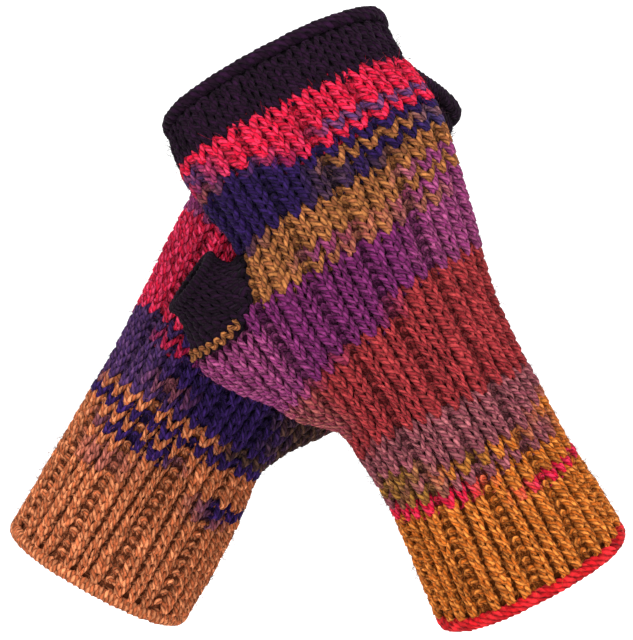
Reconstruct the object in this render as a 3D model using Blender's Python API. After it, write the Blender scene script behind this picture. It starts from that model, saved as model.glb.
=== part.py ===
"""A pair of hand-knit fingerless mitts, worn and crossed, each a hollow knitted tube.

A mitt is knitted in the round, from the cuff to the fingers, in a rib of three plain columns and
one purl gutter. Its pieces are a cast-on edge, a cuff, a hand with a thumb hole, a finger band, a
bound-off edge, and a short thumb picked up round the hole. Cuff, fingers and thumb are open.

+X is to the viewer's right, +Z is up and the viewer is at -Y. The origin is where the two worn
mitts cross. Tables and sizes are in millimetres, and become metres where a mesh is made.
"""

import math
from dataclasses import dataclass
from typing import NamedTuple

import bpy
import numpy as np
from mathutils import Vector

MM = 0.001

# The knitting
STITCHES = 40  # in a round of the hand or cuff
REPEAT = 4  # stitches in one rib: three plain and one purl
WALL = 2.6  # thickness of the knitting in a purl gutter
SEAM_GAP = 0.3  # between two pieces along a mitt
OVAL_POWER = 2.3  # 2 is an ellipse, more is squarer


class Section(NamedTuple):
    """One round of a mitt: where it lies, and the oval that it is worn to."""

    along: float  # from the cuff's edge towards the fingers
    across: float  # the oval's centre, from the straight axis towards the thumb
    bow: float  # the oval's centre, away from the viewer
    thumb_side: float  # half-width towards the thumb
    far_side: float  # half-width towards the little finger
    half_depth: float
    roll: float  # degrees that the thumb's side turns away from the viewer
    droop: float  # how much nearer to the cuff the round lies on the thumb's side


class Ends(NamedTuple):
    """Where each piece of a worn mitt ends, from the cuff's edge."""

    cuff_edge: float
    cuff: float
    hand: float
    finger_band: float
    finger_edge: float


class Line(NamedTuple):
    """One line round a wall: how far along it is, and how far it stands out."""

    along: float
    swell: float


@dataclass(frozen=True)
class Ribs:
    """The relief of the rib, as raised points over a plain inside."""

    height: float

    # Stitches from the gutter, and the share of the height there.
    PROFILE = ((0.0, 0.0), (0.55, 0.8), (1.5, 1.0), (2.5, 1.0), (3.45, 0.8))

    def marks(self, first_gutter):
        """(place in the round from 0 to 1, height) of each raised point, from the gutters."""
        count = STITCHES // REPEAT
        return [
            ((first_gutter + REPEAT * rib + place) % STITCHES / STITCHES, share * self.height)
            for rib in range(count)
            for place, share in self.PROFILE
        ]


@dataclass(frozen=True)
class Bead:
    """A rolled edge: it starts thin, swells to its crown and ends on the fabric beside it."""

    start: float
    crown: float
    end: float

    def lines(self, low, high):
        """Its lines between two places along the mitt."""
        width = high - low
        return [
            Line(low, self.start),
            Line(low + 0.3 * width, self.crown),
            Line(low + 0.7 * width, self.crown),
            Line(high, self.end),
        ]


@dataclass(frozen=True)
class ThumbHole:
    """The opening in the hand's side, an oval in turns round the hand and distance along it."""

    along: float
    half_along: float
    half_turn: float  # radians
    sag: float  # how much nearer to the cuff its front and back lie

    def place(self, angle, size=1.0):
        """(turn, along) of the point at this angle round the hole, size 1 being its edge."""
        turn = self.half_turn * math.sin(angle) * size
        sag = self.sag * (math.sin(angle) * size) ** 2
        return turn, self.along + self.half_along * math.cos(angle) * size - sag

    def angle_and_size(self, turn, along):
        """The inverse of place."""
        side = turn / self.half_turn
        up = (along - self.along + self.sag * side**2) / self.half_along
        return math.atan2(side, up), math.hypot(side, up)

    def ends(self):
        """The lowest and the highest place along the mitt that it reaches."""
        alongs = [self.place(angle)[1] for angle in np.linspace(0, math.pi, 181)]
        return min(alongs), max(alongs)


@dataclass(frozen=True)
class ThumbTube:
    """The short thumb: its open rim, in the frame of the round that it stands beside."""

    rim_along: float
    rim_out: float
    rim_radius: float
    lean: Vector  # its direction: towards the thumb, the viewer and the fingers
    rounds: int
    turn_in: float  # how far the fabric runs on from the hole before it turns
    turn_out: float
    edge_size: float  # of its first round, the hole's edge being 1


HAND_RIBS = Ribs(height=0.9)
CUFF_RIBS = Ribs(height=1.2)
BAND_RIBS = Ribs(height=0.4)
CAST_ON = Bead(start=-0.6, crown=0.9, end=0.4)
BOUND_OFF = Bead(start=-0.2, crown=1.0, end=-0.6)


class Mitt:
    """One worn mitt, placed by its straight axis, which crosses the pair's centre line."""

    def __init__(
        self, name, lean, thumb_to_right, crossing, depth, first_gutter, sections, ends, hole, thumb
    ):
        self.name = name
        lean = math.radians(lean)
        right = Vector((math.cos(lean), 0, -math.sin(lean)))
        self.fingers = Vector((math.sin(lean), 0, math.cos(lean)))
        self.to_thumb = right if thumb_to_right else -right
        self.away = Vector((0, 1, 0))
        self.turning = 1 if thumb_to_right else -1
        self.cuff_point = self.away * depth - self.fingers * crossing
        self.first_gutter = first_gutter
        self.table = np.array(sections)
        self.slopes = np.gradient(self.table, self.table[:, 0], axis=0)
        self.ends = ends
        self.hole = hole
        self.thumb = thumb

    def section(self, along):
        """The table's columns at any distance along, on smooth curves through its rows."""
        places = self.table[:, 0]
        row = int(np.clip(np.searchsorted(places, along) - 1, 0, len(places) - 2))
        width = places[row + 1] - places[row]
        t = (along - places[row]) / width
        values = (
            self.table[row] * (2 * t**3 - 3 * t**2 + 1)
            + self.table[row + 1] * (3 * t**2 - 2 * t**3)
            + width * self.slopes[row] * (t**3 - 2 * t**2 + t)
            + width * self.slopes[row + 1] * (t**3 - t**2)
        )
        return Section(*values)

    def frame(self, along):
        """The centre of a round, and its directions to the thumb and to the viewer."""
        here = self.section(along)
        step = 0.5
        slope = (self.section(along + step).bow - self.section(along - step).bow) / (2 * step)
        centre = (
            self.cuff_point
            + self.fingers * along
            + self.to_thumb * here.across
            + self.away * here.bow
        )
        away = (self.away - self.fingers * slope).normalized()
        roll = math.radians(here.roll)
        outwards = self.to_thumb * math.cos(roll) + away * math.sin(roll)
        forwards = self.to_thumb * math.sin(roll) - away * math.cos(roll)
        return here, centre, outwards, forwards

    def surface(self, turn, along):
        """The point of the oval at this turn, from the thumb's side by way of the front."""
        here, centre, outwards, forwards = self.frame(along)
        across, depth = oval(turn, here)
        fall = here.droop * across / (here.thumb_side + here.far_side)
        return centre + outwards * across + forwards * depth - self.fingers * fall

    def lifted(self, turn, along, lift):
        """A point that stands off the oval by lift, square to the fabric."""
        step_turn, step_along = 0.01, 0.2
        round_way = self.surface(turn + step_turn, along) - self.surface(turn - step_turn, along)
        up_way = self.surface(turn, along + step_along) - self.surface(turn, along - step_along)
        normal = round_way.cross(up_way).normalized() * -self.turning
        return self.surface(turn, along) + normal * lift

    def turns(self, along, places):
        """The turns that part the round, without its thumb, into these shares of its length."""
        here = self.section(along)
        sweep = np.linspace(0, math.tau, 721)
        even = here._replace(thumb_side=here.far_side)
        points = np.array([oval(turn, even) for turn in sweep])
        steps = np.hypot(*np.diff(points, axis=0).T)
        length = np.concatenate([[0], np.cumsum(steps)])
        return np.interp(places, length / length[-1], sweep)

    def grid(self, lines, ribs):
        """(turn, along, lift) of each point of a wall, by line and then round the mitt."""
        marks = sorted(ribs.marks(self.first_gutter))
        places = [place for place, _ in marks]
        grid = []
        for line in lines:
            row = []
            for turn, (_, height) in zip(self.turns(line.along, places), marks):
                turn = (turn + math.pi) % math.tau - math.pi
                row.append((turn, line.along, line.swell + height))
            grid.append(row)
        return grid

    def wall(self, piece, grid, kept=lambda row, column: True):
        """A hollow tube between the first and last lines of the grid, open at both."""
        outside = [[self.lifted(*point) for point in row] for row in grid]
        inside = [[self.lifted(turn, along, -WALL) for turn, along, _ in row] for row in grid]
        return solid_wall(self.name + piece, outside, inside, kept, self.turning)

    def hand(self, piece):
        """The hand, its thumb hole cut, and the angles of the corners of the hole."""
        hole_start, hole_end = self.hole.ends()
        lines = (
            level(self.ends.cuff + SEAM_GAP, hole_start, 7)
            + level(hole_start, hole_end, 8)[1:]
            + level(hole_end, self.ends.hand, 5)[1:]
        )
        grid = self.grid(lines, HAND_RIBS)
        kept, corners = cut(grid, self.hole)
        return self.wall(piece, grid, kept), corners

    def thumb_wall(self, piece, angles):
        """The thumb: its fabric starts in the hole's edge, and turns to the thumb's direction."""
        here, centre, outwards, forwards = self.frame(self.thumb.rim_along)
        lean = self.thumb.lean
        way = (outwards * lean.x + forwards * lean.y + self.fingers * lean.z).normalized()
        rim_centre = centre + outwards * self.thumb.rim_out
        rim_front = (forwards - way * forwards.dot(way)).normalized()
        rim_up = rim_front.cross(way).normalized()
        if rim_up.dot(self.fingers) < 0:
            rim_up = -rim_up
        edge_size, next_size = self.thumb.edge_size, self.thumb.edge_size - 0.1
        lift = HAND_RIBS.height
        outside = []
        for step in np.linspace(0, 1, self.thumb.rounds):
            ring = []
            for angle in angles:
                start = self.lifted(*self.hole.place(angle, edge_size), lift)
                run_on = self.lifted(*self.hole.place(angle, next_size), lift) - start
                out = rim_front * math.sin(angle) + rim_up * math.cos(angle)
                end = rim_centre + out * self.thumb.rim_radius
                ring.append(
                    start * (2 * step**3 - 3 * step**2 + 1)
                    + end * (3 * step**2 - 2 * step**3)
                    + run_on.normalized() * self.thumb.turn_in * (step**3 - 2 * step**2 + step)
                    + way * self.thumb.turn_out * (step**3 - step**2)
                )
            outside.append(ring)
        inside = offset_inwards(outside, WALL + lift, -self.turning)
        inside[0] = [self.lifted(*self.hole.place(angle, edge_size), -WALL) for angle in angles]
        return solid_wall(self.name + piece, outside, inside, lambda row, column: True, -self.turning)


def oval(turn, here):
    """(towards the thumb, towards the viewer) of the section's outline at this turn."""
    across, depth = math.cos(turn), math.sin(turn)
    side = here.thumb_side if across > 0 else here.far_side
    power = 2 / OVAL_POWER
    return (
        math.copysign(side * abs(across) ** power, across),
        math.copysign(here.half_depth * abs(depth) ** power, depth),
    )


def level(start, end, count):
    """Level lines at even distances, both ends counted."""
    return [Line(along, 0) for along in np.linspace(start, end, count)]


def cut(grid, hole):
    """Moves the grid's points next to the hole onto its edge.

    Gives a test of which cells are kept, and the angles of the edge's corners round the hole.
    """
    columns = len(grid[0])

    def kept(row, column):
        corners = [
            grid[row + up][(column + over) % columns] for up in (0, 1) for over in (0, 1)
        ]
        turn = sum(corner[0] for corner in corners) / 4
        along = sum(corner[1] for corner in corners) / 4
        spread = max(corner[0] for corner in corners) - min(corner[0] for corner in corners)
        return spread > math.pi or hole.angle_and_size(turn, along)[1] > 1

    cells = {
        (row, column): kept(row, column) for row in range(len(grid) - 1) for column in range(columns)
    }
    angles = []
    for row in range(1, len(grid) - 1):
        for column in range(columns):
            around = {
                cells[row - up, (column - over) % columns] for up in (0, 1) for over in (0, 1)
            }
            if around == {True, False}:
                turn, along, lift = grid[row][column]
                angle, _ = hole.angle_and_size(turn, along)
                grid[row][column] = (*hole.place(angle), lift)
                angles.append(angle)
    return lambda row, column: cells[row, column], sorted(angles)


def offset_inwards(rings, distance, turning):
    """The rings moved to the inside of their tube, square to its surface."""
    count = len(rings[0])
    moved = []
    for index, ring in enumerate(rings):
        below, above = rings[max(index - 1, 0)], rings[min(index + 1, len(rings) - 1)]
        moved.append([])
        for column, point in enumerate(ring):
            round_way = ring[(column + 1) % count] - ring[column - 1]
            up_way = above[column] - below[column]
            normal = round_way.cross(up_way).normalized() * -turning
            moved[-1].append(point - normal * distance)
    return moved


def solid_wall(name, outside, inside, kept, turning):
    """One closed mesh of two skins, joined along every free edge."""
    columns = len(outside[0])
    points = [point * MM for skin in (outside, inside) for row in skin for point in row]
    to_inside = len(points) // 2
    faces = []
    for row in range(len(outside) - 1):
        for column in range(columns):
            if kept(row, column):
                after = (column + 1) % columns
                corners = [
                    row * columns + column,
                    row * columns + after,
                    (row + 1) * columns + after,
                    (row + 1) * columns + column,
                ]
                faces.append(corners if turning < 0 else corners[::-1])
    edges = {(face[side - 1], face[side]) for face in faces for side in range(4)}
    rims = [
        [end, start, start + to_inside, end + to_inside]
        for start, end in sorted(edges)
        if (end, start) not in edges
    ]
    lining = [[corner + to_inside for corner in reversed(face)] for face in faces]
    used = sorted({corner for face in faces + lining for corner in face})
    number = {corner: index for index, corner in enumerate(used)}
    mesh = bpy.data.meshes.new(name)
    mesh.from_pydata(
        [points[corner] for corner in used],
        [],
        [[number[corner] for corner in face] for face in faces + lining + rims],
    )
    mesh.validate()
    mesh.shade_smooth()
    mesh.set_sharp_from_angle(angle=math.radians(50))
    piece = bpy.data.objects.new(name, mesh)
    bpy.context.collection.objects.link(piece)
    return piece


def yarn(name, colour):
    """A plain wool finish in one of the yarn's colours."""
    material = bpy.data.materials.new(name)
    material.diffuse_color = (*colour, 1)
    material.use_nodes = True
    shader = material.node_tree.nodes["Principled BSDF"]
    shader.inputs["Base Color"].default_value = (*colour, 1)
    shader.inputs["Roughness"].default_value = 0.9
    return material


def build_mitt(mitt, colours):
    """Every piece of one mitt, from the cuff to the fingers, and its thumb."""
    ends = mitt.ends
    cast_on = CAST_ON.lines(0, ends.cuff_edge)
    cuff = level(ends.cuff_edge + SEAM_GAP, ends.cuff, 5)
    band = level(ends.hand + SEAM_GAP, ends.finger_band, 3)
    bound_off = BOUND_OFF.lines(ends.finger_band + SEAM_GAP, ends.finger_edge)
    hand, corners = mitt.hand("hand")
    pieces = {
        "cuff_edge": mitt.wall("cuff_edge", mitt.grid(cast_on, BAND_RIBS)),
        "cuff": mitt.wall("cuff", mitt.grid(cuff, CUFF_RIBS)),
        "hand": hand,
        "finger_band": mitt.wall("finger_band", mitt.grid(band, BAND_RIBS)),
        "finger_edge": mitt.wall("finger_edge", mitt.grid(bound_off, BAND_RIBS)),
        "thumb": mitt.thumb_wall("thumb", corners),
    }
    for part, piece in pieces.items():
        piece.data.materials.append(colours[part])


FRONT_SECTIONS = (
    # along, across, bow, thumb_side, far_side, half_depth, roll, droop
    Section(0, -7.8, 14.0, 33.2, 33.2, 27.0, 0, 3.5),
    Section(19, -7.2, 9.5, 31.9, 31.6, 25.5, 0, 2.5),
    Section(39, -6.2, 5.0, 30.4, 29.4, 23.0, 0, 1.5),
    Section(59, -5.0, 1.5, 31.4, 29.4, 21.5, 0, 1.5),
    Section(73, -3.6, 0.0, 33.6, 29.8, 21.0, 0, 3),
    Section(82, -2.8, 0.0, 42.6, 30.6, 21.0, 0, 5),
    Section(91.5, -2.0, 0.0, 47.5, 32.0, 21.0, 0, 7),
    Section(101.5, -1.2, 0.0, 55.3, 34.4, 20.5, 0, 9),
    Section(111.5, -0.8, 0.0, 61.1, 36.8, 20.0, 0, 10),
    Section(119.5, -1.2, 0.0, 62.6, 37.6, 20.0, 0, 10),
    Section(128.5, -2.0, 0.0, 51.0, 38.2, 20.0, 0, 9),
    Section(137.5, -2.2, 0.0, 39.4, 39.0, 19.8, 0, 7.5),
    Section(154.5, -1.4, 0.5, 40.2, 40.2, 19.5, 0, 4),
    Section(169.5, 0.6, 2.5, 41.2, 39.8, 19.0, 0, 2),
    Section(186.5, 0.4, 9.4, 39.8, 39.0, 18.5, 0, 4.5),
)

REAR_SECTIONS = (
    # along, across, bow, thumb_side, far_side, half_depth, roll, droop
    Section(0, -0.4, 10.0, 32.6, 32.6, 27.0, 0, 0),
    Section(20, 0.2, 6.2, 32.6, 32.6, 25.5, 0, 0),
    Section(40, 0.2, 3.0, 31.8, 32.0, 23.5, 2, 0),
    Section(58, -0.2, 1.0, 31.0, 31.2, 22.0, 6, 1),
    Section(69, 0.0, 0.0, 35.5, 31.2, 21.5, 9, 3),
    Section(83, 0.0, 0.0, 45.0, 31.8, 21.5, 14, 5),
    Section(99, 0.0, 0.0, 56.0, 33.0, 21.5, 20, 7),
    Section(111, 0.0, 0.0, 62.0, 34.0, 21.5, 24, 8),
    Section(119, 0.0, 0.0, 60.5, 34.5, 21.5, 26, 8),
    Section(129, 0.0, 0.0, 46.0, 35.0, 21.8, 28, 7),
    Section(140, 0.0, 0.0, 36.0, 35.5, 22.0, 30, 5),
    Section(159, 0.0, 1.0, 35.0, 35.0, 22.0, 30, 1),
    Section(178, 0.8, 4.5, 33.5, 33.5, 22.0, 30, -3),
    Section(195, 1.2, 10.0, 31.0, 29.5, 21.0, 30, -8),
)

FRONT_MITT = {
    "name": "front_",
    "lean": -24.4,
    "thumb_to_right": False,
    "crossing": 150.2,
    "depth": -24.5,
    "first_gutter": 2,
    "sections": FRONT_SECTIONS,
    "ends": Ends(cuff_edge=5, cuff=39, hand=166, finger_band=181, finger_edge=186.5),
    "hole": ThumbHole(along=128, half_along=11, half_turn=math.radians(51), sag=8),
    "thumb": ThumbTube(134, 55.4, 11.2, Vector((0.51, 0.12, 0.86)), 6, 9, 14, 0.95),
}

REAR_MITT = {
    "name": "rear_",
    "lean": 29.0,
    "thumb_to_right": True,
    "crossing": 154.6,
    "depth": 26.5,
    "first_gutter": 1,
    "sections": REAR_SECTIONS,
    "ends": Ends(cuff_edge=5, cuff=40, hand=172, finger_band=189.5, finger_edge=195),
    "hole": ThumbHole(along=128.5, half_along=11, half_turn=math.radians(51), sag=8),
    "thumb": ThumbTube(135, 54, 11.2, Vector((0.51, 0.0, 0.86)), 6, 9, 14, 0.95),
}


def main():
    for piece in list(bpy.data.objects):
        bpy.data.objects.remove(piece)

    aubergine = yarn("aubergine_wool", (0.018, 0.008, 0.034))
    plum = yarn("plum_wool", (0.17, 0.035, 0.16))
    ochre = yarn("ochre_wool", (0.56, 0.21, 0.03))
    red = yarn("red_wool", (0.56, 0.015, 0.02))
    copper = yarn("copper_wool", (0.54, 0.17, 0.05))
    indigo = yarn("indigo_wool", (0.03, 0.015, 0.10))
    dark_ends = {"finger_band": aubergine, "finger_edge": aubergine, "thumb": aubergine}
    build_mitt(Mitt(**FRONT_MITT), {"cuff_edge": red, "cuff": ochre, "hand": plum, **dark_ends})
    build_mitt(Mitt(**REAR_MITT), {"cuff_edge": copper, "cuff": copper, "hand": indigo, **dark_ends})


main()
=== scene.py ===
"""The looks of a pair of hand-knit fingerless mitts, made of real loops of yarn.

Every stitch is a loop of plied wool on the worn form that the solids have. A mitt has a rolled
cast-on edge, a cuff, a hand with a thumb gusset and hole, a finger band, a bound-off edge and a
short thumb. A thin dark sheet lies inside the loops, painted shade that shows through the gaps
between them. The yarn dyes its own stripes, so its colours run along the knitting, round after
round from the cuff to the fingers; a few runs are brighter copies, painted light where a mitt
lies in shade.

Tables and sizes are in millimetres, and become metres where a mesh is made. A place in the round
counts stitches: 0 is the thumb's line, 10 the middle of the front, 20 the far side.
"""

import logging
import math
from dataclasses import dataclass
from enum import Enum
from typing import Any, NamedTuple

import bpy
import numpy as np
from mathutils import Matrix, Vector

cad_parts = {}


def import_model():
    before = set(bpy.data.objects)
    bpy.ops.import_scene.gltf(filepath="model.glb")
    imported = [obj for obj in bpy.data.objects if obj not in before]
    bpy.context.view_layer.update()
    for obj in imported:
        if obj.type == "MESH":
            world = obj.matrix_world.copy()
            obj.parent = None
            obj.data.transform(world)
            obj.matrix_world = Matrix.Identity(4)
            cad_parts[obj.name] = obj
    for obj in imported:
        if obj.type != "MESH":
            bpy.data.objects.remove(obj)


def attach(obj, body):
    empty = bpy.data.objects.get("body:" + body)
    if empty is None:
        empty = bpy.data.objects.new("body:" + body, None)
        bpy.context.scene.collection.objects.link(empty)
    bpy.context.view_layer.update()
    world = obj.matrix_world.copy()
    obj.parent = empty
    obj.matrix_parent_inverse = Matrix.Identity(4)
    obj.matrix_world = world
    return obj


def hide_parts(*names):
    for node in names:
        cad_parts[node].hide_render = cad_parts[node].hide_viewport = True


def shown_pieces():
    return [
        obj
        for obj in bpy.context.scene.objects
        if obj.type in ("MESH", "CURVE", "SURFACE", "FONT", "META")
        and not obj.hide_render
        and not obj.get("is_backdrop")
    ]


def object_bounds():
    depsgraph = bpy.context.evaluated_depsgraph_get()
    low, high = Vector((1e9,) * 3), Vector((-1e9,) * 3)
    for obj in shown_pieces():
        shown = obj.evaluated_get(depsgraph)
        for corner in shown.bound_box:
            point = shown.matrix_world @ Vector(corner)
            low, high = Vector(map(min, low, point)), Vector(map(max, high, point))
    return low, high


log = logging.getLogger("mitts")

MM = 0.001
TURN = 2 * math.pi
STITCHES = 40  # in a round
FAR_STITCHES = 20  # in the half of a round away from the thumb
REPEAT = 4  # stitches in one rib: three plain and one purl
FRONT_PLACE, BACK_PLACE = 10, -10
FIRST_PLACE = 30  # where a row starts; the yarn is knitted from right to left
OVAL_POWER = 2.3  # 2 is an ellipse, more is squarer
WALL = 2.6
ROUND_POINTS = 721  # at which the arc round a mitt is measured
RING_SIDES = 6  # of a yarn's tube
STEPS = 12  # along the yarn in one stitch
PLIES = ("first_ply", "second_ply")
YARN_FINISH, SHADE_CLOTH_FINISH = "plied_wool", "painted_shade_cloth"

Points = np.ndarray
Colour = tuple[float, float, float]


def hex_colour(code: str) -> Colour:
    """Linear colour of a six-digit sRGB code.

    Args:
        code: The colour, such as "c77a22".

    Returns:
        Red, green and blue, linear.
    """
    parts = [int(code[place : place + 2], 16) / 255 for place in (0, 2, 4)]
    return tuple(
        part / 12.92 if part <= 0.04045 else ((part + 0.055) / 1.055) ** 2.4 for part in parts
    )


def unit(vectors: Points) -> Points:
    """The vectors, each of length 1."""
    return vectors / np.maximum(np.linalg.norm(vectors, axis=-1, keepdims=True), 1e-9)


def smooth(share: Points, start: Points, end: Points, leave: Points, arrive: Points) -> Points:
    """Points part of the way along smooth curves.

    Args:
        share: 0 at the start and 1 at the end.
        start: Where the curves start.
        end: Where they end.
        leave: The way they leave the start, longer for a straighter start.
        arrive: The way they arrive.

    Returns:
        The points.
    """
    return (
        start * (2 * share**3 - 3 * share**2 + 1)
        + end * (3 * share**2 - 2 * share**3)
        + leave * (share**3 - 2 * share**2 + share)
        + arrive * (share**3 - share**2)
    )


def cells(lines: int, columns: int) -> Points:
    """The cells of a grid whose lines close on themselves.

    Args:
        lines: Lines of points.
        columns: Points in each line.

    Returns:
        The four corners of each cell.
    """
    line, column = np.divmod(np.arange((lines - 1) * columns), columns)
    over = (column + 1) % columns
    low, high = line * columns, (line + 1) * columns
    return np.stack([low + column, low + over, high + over, high + column], axis=-1)


def placed(name: str, data: Any) -> bpy.types.Object:
    """Puts a new object in the scene.

    Args:
        name: Its name.
        data: Its mesh, lamp or lens.

    Returns:
        The object.
    """
    piece = bpy.data.objects.new(name, data)
    bpy.context.scene.collection.objects.link(piece)
    return piece


def paint(mesh: bpy.types.Mesh, title: str, colours: Points) -> None:
    """Stores a colour for each of a mesh's points.

    Args:
        mesh: The mesh.
        title: The name it is stored under.
        colours: Linear colours, one a point.
    """
    rgba = np.concatenate([colours, np.ones((len(colours), 1))], axis=1)
    attribute = mesh.color_attributes.new(title, "FLOAT_COLOR", "POINT")
    attribute.data.foreach_set("color", rgba.astype(np.float32).ravel())


class Dye(Enum):
    """The colours of the self-striping yarn, dark ply and light ply. Two are brighter copies of
    others, painted light for the rear mitt, which the front mitt shades.
    """

    AUBERGINE = ("1c081b", "240b25")
    CRIMSON = ("d41236", "e82e52")
    # painted light: a brighter copy of CRIMSON for the rear mitt, against the shadow that the front
    # mitt casts on it
    SCARLET = ("dc1c42", "f0406a")
    HEM_RED = ("c4161e", "d8262c")
    SMOKE = ("523062", "823c66")
    INDIGO = ("230f3f", "2e1852")
    # painted light: a brighter copy of INDIGO for the rear mitt, against the shadow that the front
    # mitt casts on it
    NIGHT = ("2a144c", "3a2064")
    SLATE = ("382a58", "564270")
    TAN = ("8e5230", "b0703e")
    ROSE = ("8e3a48", "aa5c58")
    PLUM = ("651b54", "7e2e69")
    ORCHID = ("883168", "a44c7c")
    BRICK = ("952a30", "ab3a3c")
    MAUVE = ("88424e", "a65e64")
    OLIVE = ("7e5026", "a87432")
    MUSTARD = ("c4641e", "e4883a")
    COPPER = ("bc623a", "e08a5c")
    BLUSH = ("a05648", "bc6c5c")
    DUSK = ("44285c", "5e3b6a")
    UMBER = ("3a222a", "5c4034")

    def plies(self) -> tuple[Colour, Colour]:
        """The linear colours of the two plies."""
        return hex_colour(self.value[0]), hex_colour(self.value[1])


class Stripes:
    """The colours along a mitt's yarn."""

    def __init__(self, card: str, blend: float = 0.035) -> None:
        """Reads a colour card.

        Args:
            card: For each run of one colour, in the order they are knitted, where it starts, in
                rows above the cuff's first row, and its dye. Commas part the runs.
            blend: Half the length, in rows, over which one colour becomes the next.
        """
        runs = [run.split() for run in card.split(",")]
        self.starts = np.array([float(start) for start, _ in runs])
        self.plies = np.array([Dye[dye].plies() for _, dye in runs])
        self.blend = blend

    def at(self, place: Points, ply: int) -> Points:
        """Colours at places along the yarn.

        Args:
            place: Rows knitted so far, with the share of the round.
            ply: Which of the two plies.

        Returns:
            Linear colours, one row a place.
        """
        run = np.clip(np.searchsorted(self.starts, place, side="right") - 1, 0, None)
        after = np.clip(run + 1, 0, len(self.starts) - 1)
        before = np.clip(run - 1, 0, None)
        to_next = np.where(after > run, self.starts[after] - place, np.inf)
        from_last = np.where(run > before, place - self.starts[run], np.inf)
        lead = np.clip(0.5 - to_next / (2 * self.blend), 0, 0.5)[..., None]
        trail = np.clip(0.5 - from_last / (2 * self.blend), 0, 0.5)[..., None]
        return (
            self.plies[run, ply] * (1 - lead - trail)
            + self.plies[after, ply] * lead
            + self.plies[before, ply] * trail
        )


@dataclass(frozen=True)
class ThumbHole:
    """The opening in the hand's side, an oval in turns round the hand and distance along it."""

    along: float
    half_along: float
    half_turn: float
    sag: float

    def place(self, angle: Points, size: float) -> tuple[Points, Points]:
        """Turn and distance along of points round the hole.

        Args:
            angle: Angles round the hole, 0 being towards the fingers.
            size: 1 for its edge.

        Returns:
            The turns and the distances along.
        """
        turn = self.half_turn * np.sin(angle) * size
        sag = self.sag * (np.sin(angle) * size) ** 2
        return turn, self.along + self.half_along * np.cos(angle) * size - sag

    def size(self, turn: Points, along: Points) -> Points:
        """How far out of the hole's middle places are.

        Args:
            turn: Turns round the hand.
            along: Distances along it.

        Returns:
            1 at the hole's edge, more outside.
        """
        side = ((turn + math.pi) % TURN - math.pi) / self.half_turn
        up = (along - self.along + self.sag * side**2) / self.half_along
        return np.hypot(side, up)


class Round(NamedTuple):
    """One line of a worn form's table, or each column for many places."""

    along: Any  # distance from the cuff's edge
    across: Any  # of the middle from the axis, towards the thumb
    bow: Any  # of the middle from the axis, away from the viewer
    thumb_side: Any  # half-width towards the thumb
    far_side: Any  # half-width away from the thumb
    half_depth: Any
    roll: Any  # about the axis, in degrees
    droop: Any  # how much nearer the cuff the thumb's side lies than the far side


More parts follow.
